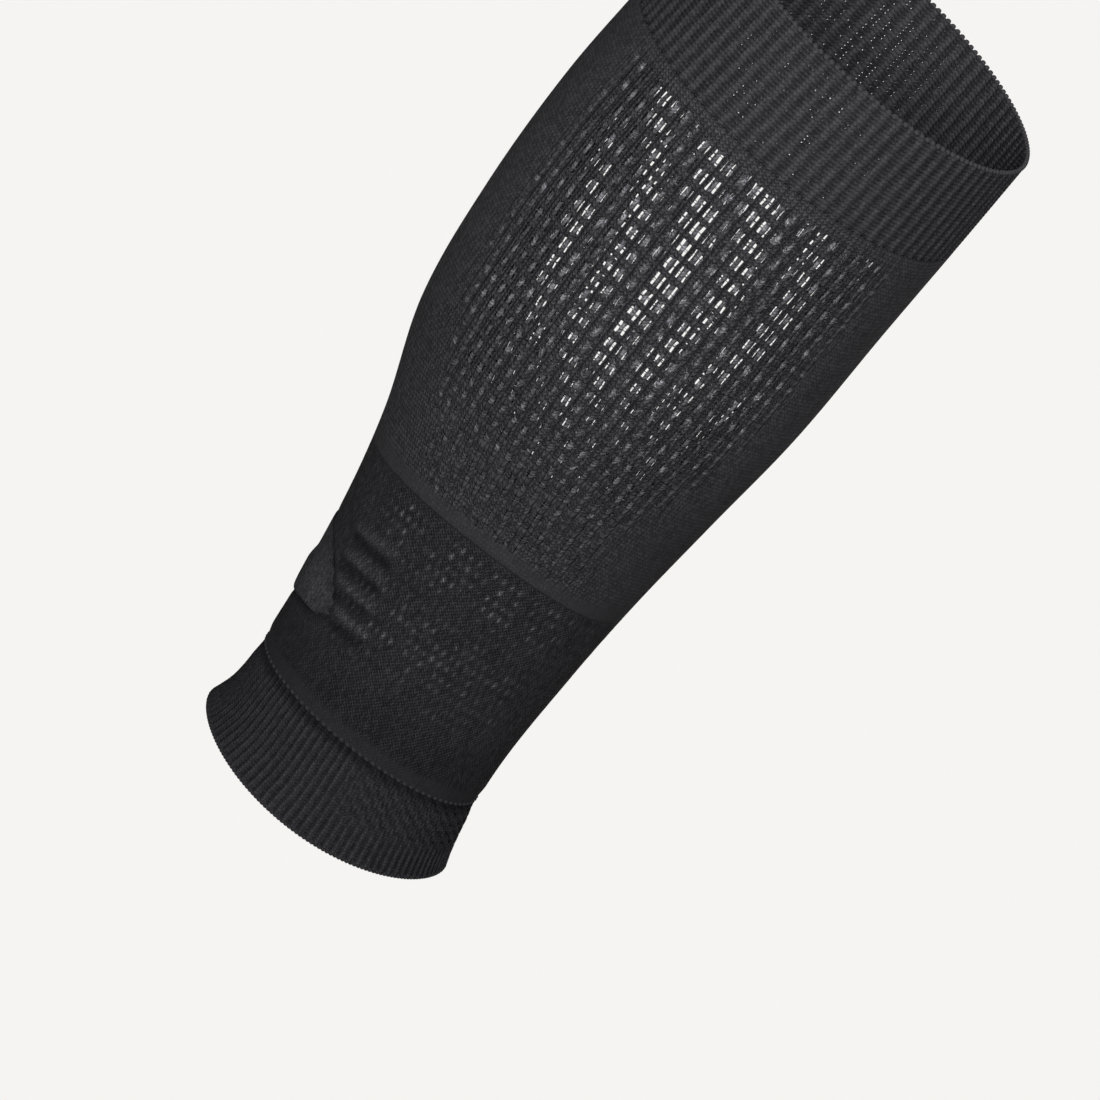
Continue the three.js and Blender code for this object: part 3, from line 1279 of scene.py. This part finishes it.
        # Most slits have only a hair across them instead of a full thread
        thinned = np.where(bare > self.thread_share, self.hair_loss * self.thread, 0)
        heights = heights + np.array([0, 1, -1, 0, 0])[parts][:, None] * thinned
        # Threads across open slits are painted paler, as painted light that falls through them
        is_mesh = is_thread & np.isin(kinds, (2, 3))[None, :]
        glow = np.where(is_mesh, catch * self.thread_glow(row, share_open), 0)
        to_angle = np.where(is_window, self.angle_of(places + aside)[None, :], angles)
        to_height = heights + np.where(is_window, upward, 0)
        close = self.form.skin(to_angle, to_height) - self.form.skin(angles, heights)
        is_slit = np.isin(kinds, (1, 3))[None, :] & np.isin(parts, (0, 2))[:-1, None]
        above_ankle = heights - Border.ANKLE_TOP.value.height(angles)
        numbers = {
            "rib": np.tile(places, (len(shares), 1)),
            "open": np.where(is_window, share_open, 1),
            "raise": np.zeros_like(angles),
            "relief": self.groove_relief(angles, heights),
            "plain": self.band.fall(above_ankle),
            # Painted shade lower down the panel, less the painted light on the threads
            "shade": self.low_shade.rise(-heights) - glow,
        }
        wales = np.append(places, self.columns) * self.wales_per_column
        holes = is_slit & (share_open[:-1] > 0)
        return KnitGrid(angles, heights, wales, near_heights / self.course_mm, numbers, close, holes)


@dataclass(frozen=True)
class PadRow:
    """A row of the pad's outline: its height, and half its width in degrees from the back."""

    z: float
    half_angle: float


class PadOutline:
    """The outline of the pad over the Achilles tendon."""

    ROWS = (
        PadRow(-186.0, 6),
        PadRow(-183.5, 22),
        PadRow(-181.0, 40),
        PadRow(-177.5, 49),
        PadRow(-172.0, 47),
        PadRow(-165.0, 35.5),
        PadRow(-160.5, 22),
        PadRow(-158.5, 8),
    )
    WIDEST_ROW = 3

    def __init__(self) -> None:
        """Makes the smooth curve through the rows."""
        self.table = SmoothTable([r.z for r in self.ROWS], [(r.half_angle,) for r in self.ROWS])
        self.foot = self.ROWS[0].z
        self.head = self.ROWS[-1].z

    def half_angle(self, heights: Array) -> Array:
        """Half the pad's width in degrees, at heights that are kept within it."""
        return self.table.at(np.clip(heights, self.foot, self.head))[..., 0]

    def lower_edge(self, from_back: Array) -> Array:
        """The height of the pad's lower edge, at degrees from the back."""
        low = self.ROWS[: self.WIDEST_ROW + 1]
        return np.interp(from_back, [r.half_angle for r in low], [r.z for r in low])


@dataclass(frozen=True)
class Ridge:
    """A flex ridge beside the pad: the height of its crest, and its ends in degrees from the back."""

    z: float
    start: float
    end: float


@dataclass
class AnklePanel(KnitZone):
    """The closer knit round the ankle, with flex ridges beside the pad."""

    NODE = "ankle_panel"
    SLOT = "ankle_knit"
    FINISH = Finish.ANKLE

    flat_mm: Pair = (215, 80)
    wall: float = 1.0
    columns: int = 96
    lines_per_column: int = 4
    wales_per_column: int = 2
    lines_per_fleck: int = 5
    # Stitches are drawn coarser than real ones, so that they show
    courses_per_fleck: int = 3
    seed: int = 3
    ridges: tuple[Ridge, ...] = (
        Ridge(-148.2, 43, 62),
        Ridge(-157.4, 44, 63),
        Ridge(-165.9, 47, 65),
        Ridge(-174.0, 54, 69),
    )
    ridge_height: float = 1.1
    ridge_sides: Ease = Ease(0, 3.4)
    ridge_soft_ends: float = 7
    ridge_climb: float = 0.13
    # The ridges' crests are painted paler: a painted highlight
    ridge_glow: float = 0.25
    valley_drop: float = 4.3
    # Flecks: how strong they are in their groups, and where they start and end below the border
    fleck_height: float = 0.22
    fleck_pitch: float = 3.9
    fleck_groups: int = 15
    group_mean: float = 0.55
    fleck_start: Ease = Ease(0.5, 2)
    upper_fleck_end: Ease = Ease(14, 22)
    lower_fleck_start: Ease = Ease(26, 33, 0.45)
    lower_fleck_end: Ease = Ease(44, 52)
    fleck_end: Ease = Ease(52, 66)
    least_flecks: float = 0.22
    # Flecks fade towards the shin and the back, in degrees from the back
    shin_loss: Ease = Ease(130, 150, 0.75)
    back_loss: Ease = Ease(46, 62, 0.65)
    # Creases round the pad, in degrees beside it and millimetres above and below it
    crease_depth: float = 0.3
    crease_shade: float = 0.45
    pad_crease: Ease = Ease(1, 9, 0.7)
    pad_foot_soft: float = 1.5
    pad_head_soft: float = 4
    under_start: Ease = Ease(-0.5, 0.3)
    under_end: Ease = Ease(0.6, 3)
    under_side: Ease = Ease(38, 46)
    # Above the seam: the tuck, the plain band and the shade
    tuck: Ease = Ease(0, 6, 0.7)
    band: Ease = Ease(4.2, 6.7, 0.7)
    low_shade: Ease = Ease(8, 26, 0.18)

    def ridge_share(self, angles: Array, heights: Array, drop: float) -> Array:
        """How far up a flex ridge each point is.

        Args:
            angles: The angle of each point.
            heights: The height of each point.
            drop: How far below the ridges the crests are taken to lie.

        Returns:
            Shares from 0, on the plain panel, to 1, on a crest.
        """
        from_back = degrees_from_back(angles)
        soft = self.ridge_soft_ends
        total = np.zeros_like(heights)
        for ridge in self.ridges:
            crest = ridge.z - drop + self.ridge_climb * (from_back - ridge.start)
            across = self.ridge_sides.fall(np.abs(heights - crest))
            risen = Ease(ridge.start - soft, ridge.start).rise(from_back)
            total += across * risen * Ease(ridge.end, ridge.end + soft).fall(from_back)
        return total

    def fleck_strength(self, angles: Array, below: Array) -> Array:
        """How much the flecks show, which goes in groups.

        Args:
            angles: The angle of each point.
            below: How far each point lies below the panel's upper border.

        Returns:
            Shares from 0 to 1.
        """
        groups = self.group_mean + (1 - self.group_mean) * np.cos(self.fleck_groups * angles)
        upper = groups * self.upper_fleck_end.fall(below)
        lower = self.lower_fleck_start.rise(below) * self.lower_fleck_end.fall(below)
        shown = self.least_flecks + (1 - self.least_flecks) * np.maximum(upper, lower)
        from_back = degrees_from_back(angles)
        round_leg = (1 - self.shin_loss.rise(from_back)) * (1 - self.back_loss.fall(from_back))
        return shown * round_leg * self.fleck_start.rise(below) * self.fleck_end.fall(below)

    def crease(self, angles: Array, heights: Array) -> Array:
        """How far the knit is drawn in and shaded: below each ridge and round the pad.

        Args:
            angles: The angle of each point.
            heights: The height of each point.

        Returns:
            Shares from 0 to 1.
        """
        outline = PadOutline()
        from_back = degrees_from_back(angles)
        beside = np.abs(from_back - outline.half_angle(heights))
        level = Ease(outline.foot - self.pad_foot_soft, outline.foot).rise(heights)
        level = level * Ease(outline.head, outline.head + self.pad_head_soft).fall(heights)
        round_pad = self.pad_crease.fall(beside) * level
        under = outline.lower_edge(from_back) - heights
        below_pad = self.under_start.rise(under) * self.under_end.fall(under)
        below_pad = below_pad * self.under_side.fall(from_back)
        valleys = self.ridge_share(angles, heights, self.valley_drop)
        return np.clip(np.maximum(np.maximum(round_pad, below_pad), valleys), 0, 1)

    def grid(self) -> KnitGrid:
        """The panel's grid, with its flecks one line further round in each row.

        Returns:
            The grid.
        """
        lines = self.columns * self.lines_per_column
        tall = Border.ANKLE_TOP.value.mean - Border.SEAM.value.mean
        flecks = round(tall / self.fleck_pitch)
        rows = flecks * self.lines_per_fleck
        shares = np.linspace(0, 1, rows + 1)
        angles = np.tile(np.arange(lines) * TURN / lines, (rows + 1, 1))
        heights = between(Border.SEAM, Border.ANKLE_TOP, angles, shares[:, None])
        rung = shares * flecks
        fleck_row = np.round(rung).astype(int)[:, None]
        rib = (np.arange(lines)[None, :] + fleck_row) / self.lines_per_column
        chance = np.random.default_rng(self.seed).random((flecks + 1, self.columns))
        uneven = chance[fleck_row, np.round(rib).astype(int) % self.columns]
        below_top = Border.ANKLE_TOP.value.height(angles) - heights
        above_seam = heights - Border.SEAM.value.height(angles)
        ridge = self.ridge_share(angles, heights, 0)
        crease = self.crease(angles, heights)
        drawn_in = self.crease_depth * crease + self.tuck.fall(above_seam)
        numbers = {
            "rib": rib,
            "rung": np.tile(rung[:, None], (1, lines)),
            "raise": (ridge * self.ridge_height - drawn_in) * MM,
            "strength": uneven * self.fleck_strength(angles, below_top),
            "glow": self.ridge_glow * ridge,
            "plain": self.band.fall(above_seam),
            "shade": self.crease_shade * crease + self.low_shade.fall(above_seam),
        }
        wales = np.arange(lines + 1) * self.wales_per_column / self.lines_per_column
        return KnitGrid(angles, heights, wales, rung * self.courses_per_fleck, numbers)


@dataclass
class AchillesPad:
    """The smooth raised pad over the Achilles tendon."""

    form: LegForm
    columns: int = 72
    rows: int = 56
    sink: float = -0.4
    edge: float = 0.12
    crown: float = 1.35
    fill: float = 0.6
    # Its rim goes in and out by a stitch at a time: the stitch's height, and its width in degrees
    stitch_mm: float = 3.6
    stitch_step: float = 3.2
    # Its upper half lies almost flush
    flush: Ease = Ease(-175.5, -169.5, 0.8)
    # Stitches are drawn coarser than real ones, so that they show
    wale_mm: float = 1.2
    course_mm: float = 1.0
    radius: float = 32
    # Painted light: the pad is painted paler on its swell and towards its sides
    light_loss: Ease = Ease(8, 36, 0.7)

    def build(self) -> None:
        """Makes the pad as a closed lens that is thickest in its middle."""
        outline = PadOutline()
        up = np.linspace(0, 1, self.rows + 1)[:, None]
        side = np.linspace(-1, 1, self.columns + 1)[None, :]
        z = outline.foot + (outline.head - outline.foot) * (1 - np.cos(np.pi * up)) / 2
        heights = np.tile(z, (1, self.columns + 1))
        stagger = (heights / self.stitch_mm % 1 - 0.5) * self.stitch_step
        angles = np.pi + np.radians(side * (outline.half_angle(heights) + stagger))
        swell = np.sqrt(np.sin(np.pi * up) * np.cos(np.pi * side / 2).clip(0))
        full = 1 - self.flush.rise(heights)
        thick = self.edge + (self.crown - self.edge) * swell * full
        away = self.form.outward(angles, heights)
        skin = self.form.skin(angles, heights)
        top = skin + away * thick[..., None]
        base = skin + away * self.sink
        count = heights.size
        index = np.arange(count).reshape(heights.shape)
        quads = np.stack([index[:-1, :-1], index[:-1, 1:], index[1:, 1:], index[1:, :-1]], axis=-1)
        quads = quads.reshape(-1, 4)
        ring = np.concatenate([index[0, :-1], index[:-1, -1], index[-1, :0:-1], index[:0:-1, 0]])
        after = np.roll(ring, -1)
        sides = np.stack([ring + count, after + count, after, ring], axis=-1)
        faces = np.concatenate([quads, quads[:, ::-1] + count, sides])
        pad = add_mesh("achilles_pad_knit", np.stack([top, base]) * MM, faces.tolist())
        wales = angles * self.radius / self.wale_mm
        knit = np.stack([wales, heights / self.course_mm, np.zeros_like(heights)], axis=-1)
        keep(pad, "knit", np.stack([knit, knit]), "FLOAT_VECTOR")
        # Painted light, which the material reads as the lift
        light = swell * (1 - self.light_loss.fall(degrees_from_back(angles)))
        keep(pad, "lift", np.stack([light, light]))
        pad.data.shade_smooth()
        pad.data.materials.append(Finish.PAD.value.material())
        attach(pad, "root")
        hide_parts("achilles_pad")
        report(pad)


@dataclass
class LowerCuff(RibCuff):
    """The finely ribbed lower cuff, with its linking seam and flared hem."""

    NODE = "lower_cuff"
    SLOT = "lower_cuff_knit"
    FINISH = Finish.LOWER_CUFF
    CHAINS = (
        LoopRow(
            "linking_seam_chain", Border.SEAM, Finish.SEAM_YARN, off=-0.9, up=0.3,
            loops=96, loop_length=2.0, loop_width=1.3, loop_lean=12,
        ),
        LoopRow(
            "lower_hem_chain", Border.HEM, Finish.HEM_YARN, off=-0.75, up=0.3,
            loops=192, loop_length=1.9, loop_width=1.5, loop_lean=20,
        ),
    )

    flat_mm: Pair = (220, 30)
    wall: float = 1.1
    low: Border = Border.HEM
    high: Border = Border.SEAM
    ribs: int = 96
    columns_per_rib: int = 6
    wales_per_rib: int = 2
    course_mm: float = 1.0
    rib_depth: float = 0.5
    rung_depth: float = 0.3
    rung_glow: float = 0.12
    crest_share: float = 0.52
    pinhole_size: float = 1.0
    knot_depth: float = 0.5
    knot_fill: float = 1.0
    knot_rise: float = 0.27
    knot_slant: float = 1.0
    least_knot: float = 0.1
    # Knots lie towards the shin, by the cosine of the angle, and in the cuff's upper half
    knot_side: Ease = Ease(0.0, 0.35)
    knot_shares: Ease = Ease(0.25, 0.5)
    seam_step: Ease = Ease(0, 9, 0.7)
    seam_shade: Ease = Ease(1, 4.5, 0.5)

    def grid(self) -> KnitGrid:
        """The cuff's grid, set in below the seam.

        Returns:
            The grid.
        """
        heights = between(self.low, self.high, self.angles, self.shares[:, None])
        below = self.high.value.height(self.angles) - heights
        # Towards the shin, the upper half of the ribs breaks up into slanting knots
        broken = self.knot_side.rise(np.cos(self.angles)) * self.knot_shares.rise(self.shares)[:, None]
        numbers = {
            "rib": self.rib,
            "rung": self.rung,
            "turn": self.rung * self.knot_rise + self.rib * self.knot_slant - np.round(self.rib) / 2,
            "knot": self.least_knot + (1 - self.least_knot) * broken,
            "raise": -self.seam_step.fall(below) * MM,
            "shade": self.seam_shade.fall(below),
        }
        return KnitGrid(self.angles, heights, self.wales, self.courses, numbers)


# Studio


@dataclass
class Studio:
    """The camera at the photo's angle, soft light and a plain pale floor."""

    target_mm: tuple[float, float, float] = (27.1, 0.0, -123.5)
    distance_mm: float = 2600
    elevation: float = 19
    roll: float = 40
    lens_mm: float = 274.5
    sensor_mm: float = 36
    clip_m: Pair = (0.05, 200)
    floor_depth_mm: float = 2300
    floor_half_mm: float = 30000
    floor_colour: str = "#f5f4f2"
    sky_colour: str = "#f4f4f6"
    sky_strength: float = 0.08
    key_power: float = 146
    box_size_mm: float = 1500
    key_offset_m: tuple[float, float, float] = (-0.1, -2.15, 0.95)
    fill_power: float = 95
    fill_offset_m: tuple[float, float, float] = (0.2, 2.3, 0.9)

    def axes(self) -> tuple[Vector, Vector, Vector]:
        """The camera's axes.

        Returns:
            Its right, up and backward directions.
        """
        rise_angle, turn = math.radians(self.elevation), math.radians(self.roll)
        level = Vector((1, 0, 0))
        upright = Vector((0, math.sin(rise_angle), math.cos(rise_angle)))
        right = level * math.cos(turn) + upright * math.sin(turn)
        up = upright * math.cos(turn) - level * math.sin(turn)
        return right, up, right.cross(up)

    def build_camera(self) -> None:
        """Sets the camera up, with its depth of field off."""
        right, up, back = self.axes()
        data = bpy.data.cameras.new("photo_camera")
        data.sensor_width = self.sensor_mm
        data.lens = self.lens_mm
        data.clip_start, data.clip_end = self.clip_m
        camera = add_object("photo_camera", data)
        place = Vector(self.target_mm) * MM + back * self.distance_mm * MM
        turn = Matrix((right, up, back)).transposed().to_4x4()
        camera.matrix_world = Matrix.Translation(place) @ turn
        bpy.context.scene.camera = camera

    def build_floor(self) -> None:
        """Lays the floor well below the sleeve, which its mount holds up."""
        half, depth = self.floor_half_mm * MM, -self.floor_depth_mm * MM
        signs = ((-1, -1), (1, -1), (1, 1), (-1, 1))
        corners = np.array([(x * half, y * half, depth) for x, y in signs])
        floor = add_mesh("studio_floor", corners, [(0, 1, 2, 3)])
        # Matt paper, lit so evenly that it is one pale tone on which no shade shows
        paper = {
            "Base Color": linear("#000000"),
            "Roughness": 1.0,
            "Specular IOR Level": 0.0,
            "Emission Color": linear(self.floor_colour),
            "Emission Strength": 1.0,
        }
        floor.data.materials.append(Shader("Pale studio paper").ended(paper))

    def build_light(self) -> None:
        """Adds an even sky, a soft box beside the camera and a weaker one behind the sleeve."""
        world = bpy.data.worlds.new("Studio sky")
        world.use_nodes = True
        nodes = Nodes(world.node_tree)
        glow = {"Color": linear(self.sky_colour), "Strength": self.sky_strength}
        nodes.add("ShaderNodeOutputWorld", {"Surface": nodes.add("ShaderNodeBackground", glow)})
        bpy.context.scene.world = world
        self.add_soft_box("key_box", self.key_power, Vector(self.key_offset_m))
        self.add_soft_box("fill_box", self.fill_power, Vector(self.fill_offset_m))
        bpy.context.scene.view_settings.view_transform = "Standard"

    def add_soft_box(self, name: str, power: float, offset: Vector) -> None:
        """Hangs a large soft box that faces the sleeve.

        Args:
            name: The light's name.
            power: Its power in watts.
            offset: Where it hangs, in metres from the middle of the view.
        """
        data = bpy.data.lights.new(name, "AREA")
        data.size = self.box_size_mm * MM
        data.energy = power
        box = add_object(name, data)
        box.location = Vector(self.target_mm) * MM + offset
        box.rotation_euler = (-offset).to_track_quat("-Z", "Y").to_euler()


def report(*pieces: bpy.types.Object) -> None:
    """Logs each finished piece with its count of triangles.

    Args:
        pieces: The finished pieces.
    """
    for piece in pieces:
        piece.data.calc_loop_triangles()
        LOG.info("%s: %d triangles", piece.name, len(piece.data.loop_triangles))


def main() -> None:
    """Builds the studio and the sleeve's zones in order."""
    logging.basicConfig(level=logging.INFO, format="%(message)s")
    studio = Studio()
    studio.build_camera()
    studio.build_floor()
    studio.build_light()
    form = LegForm()
    ribs = RibTree()
    chain = ChainTree()
    UpperCuff(form).build(ribs, chain)
    CalfPanel(form).build(OpenworkTree(), chain)
    AnklePanel(form).build(FleckTree(), chain)
    AchillesPad(form).build()
    LowerCuff(form).build(ribs, chain)


if __name__ == "__main__":
    main()
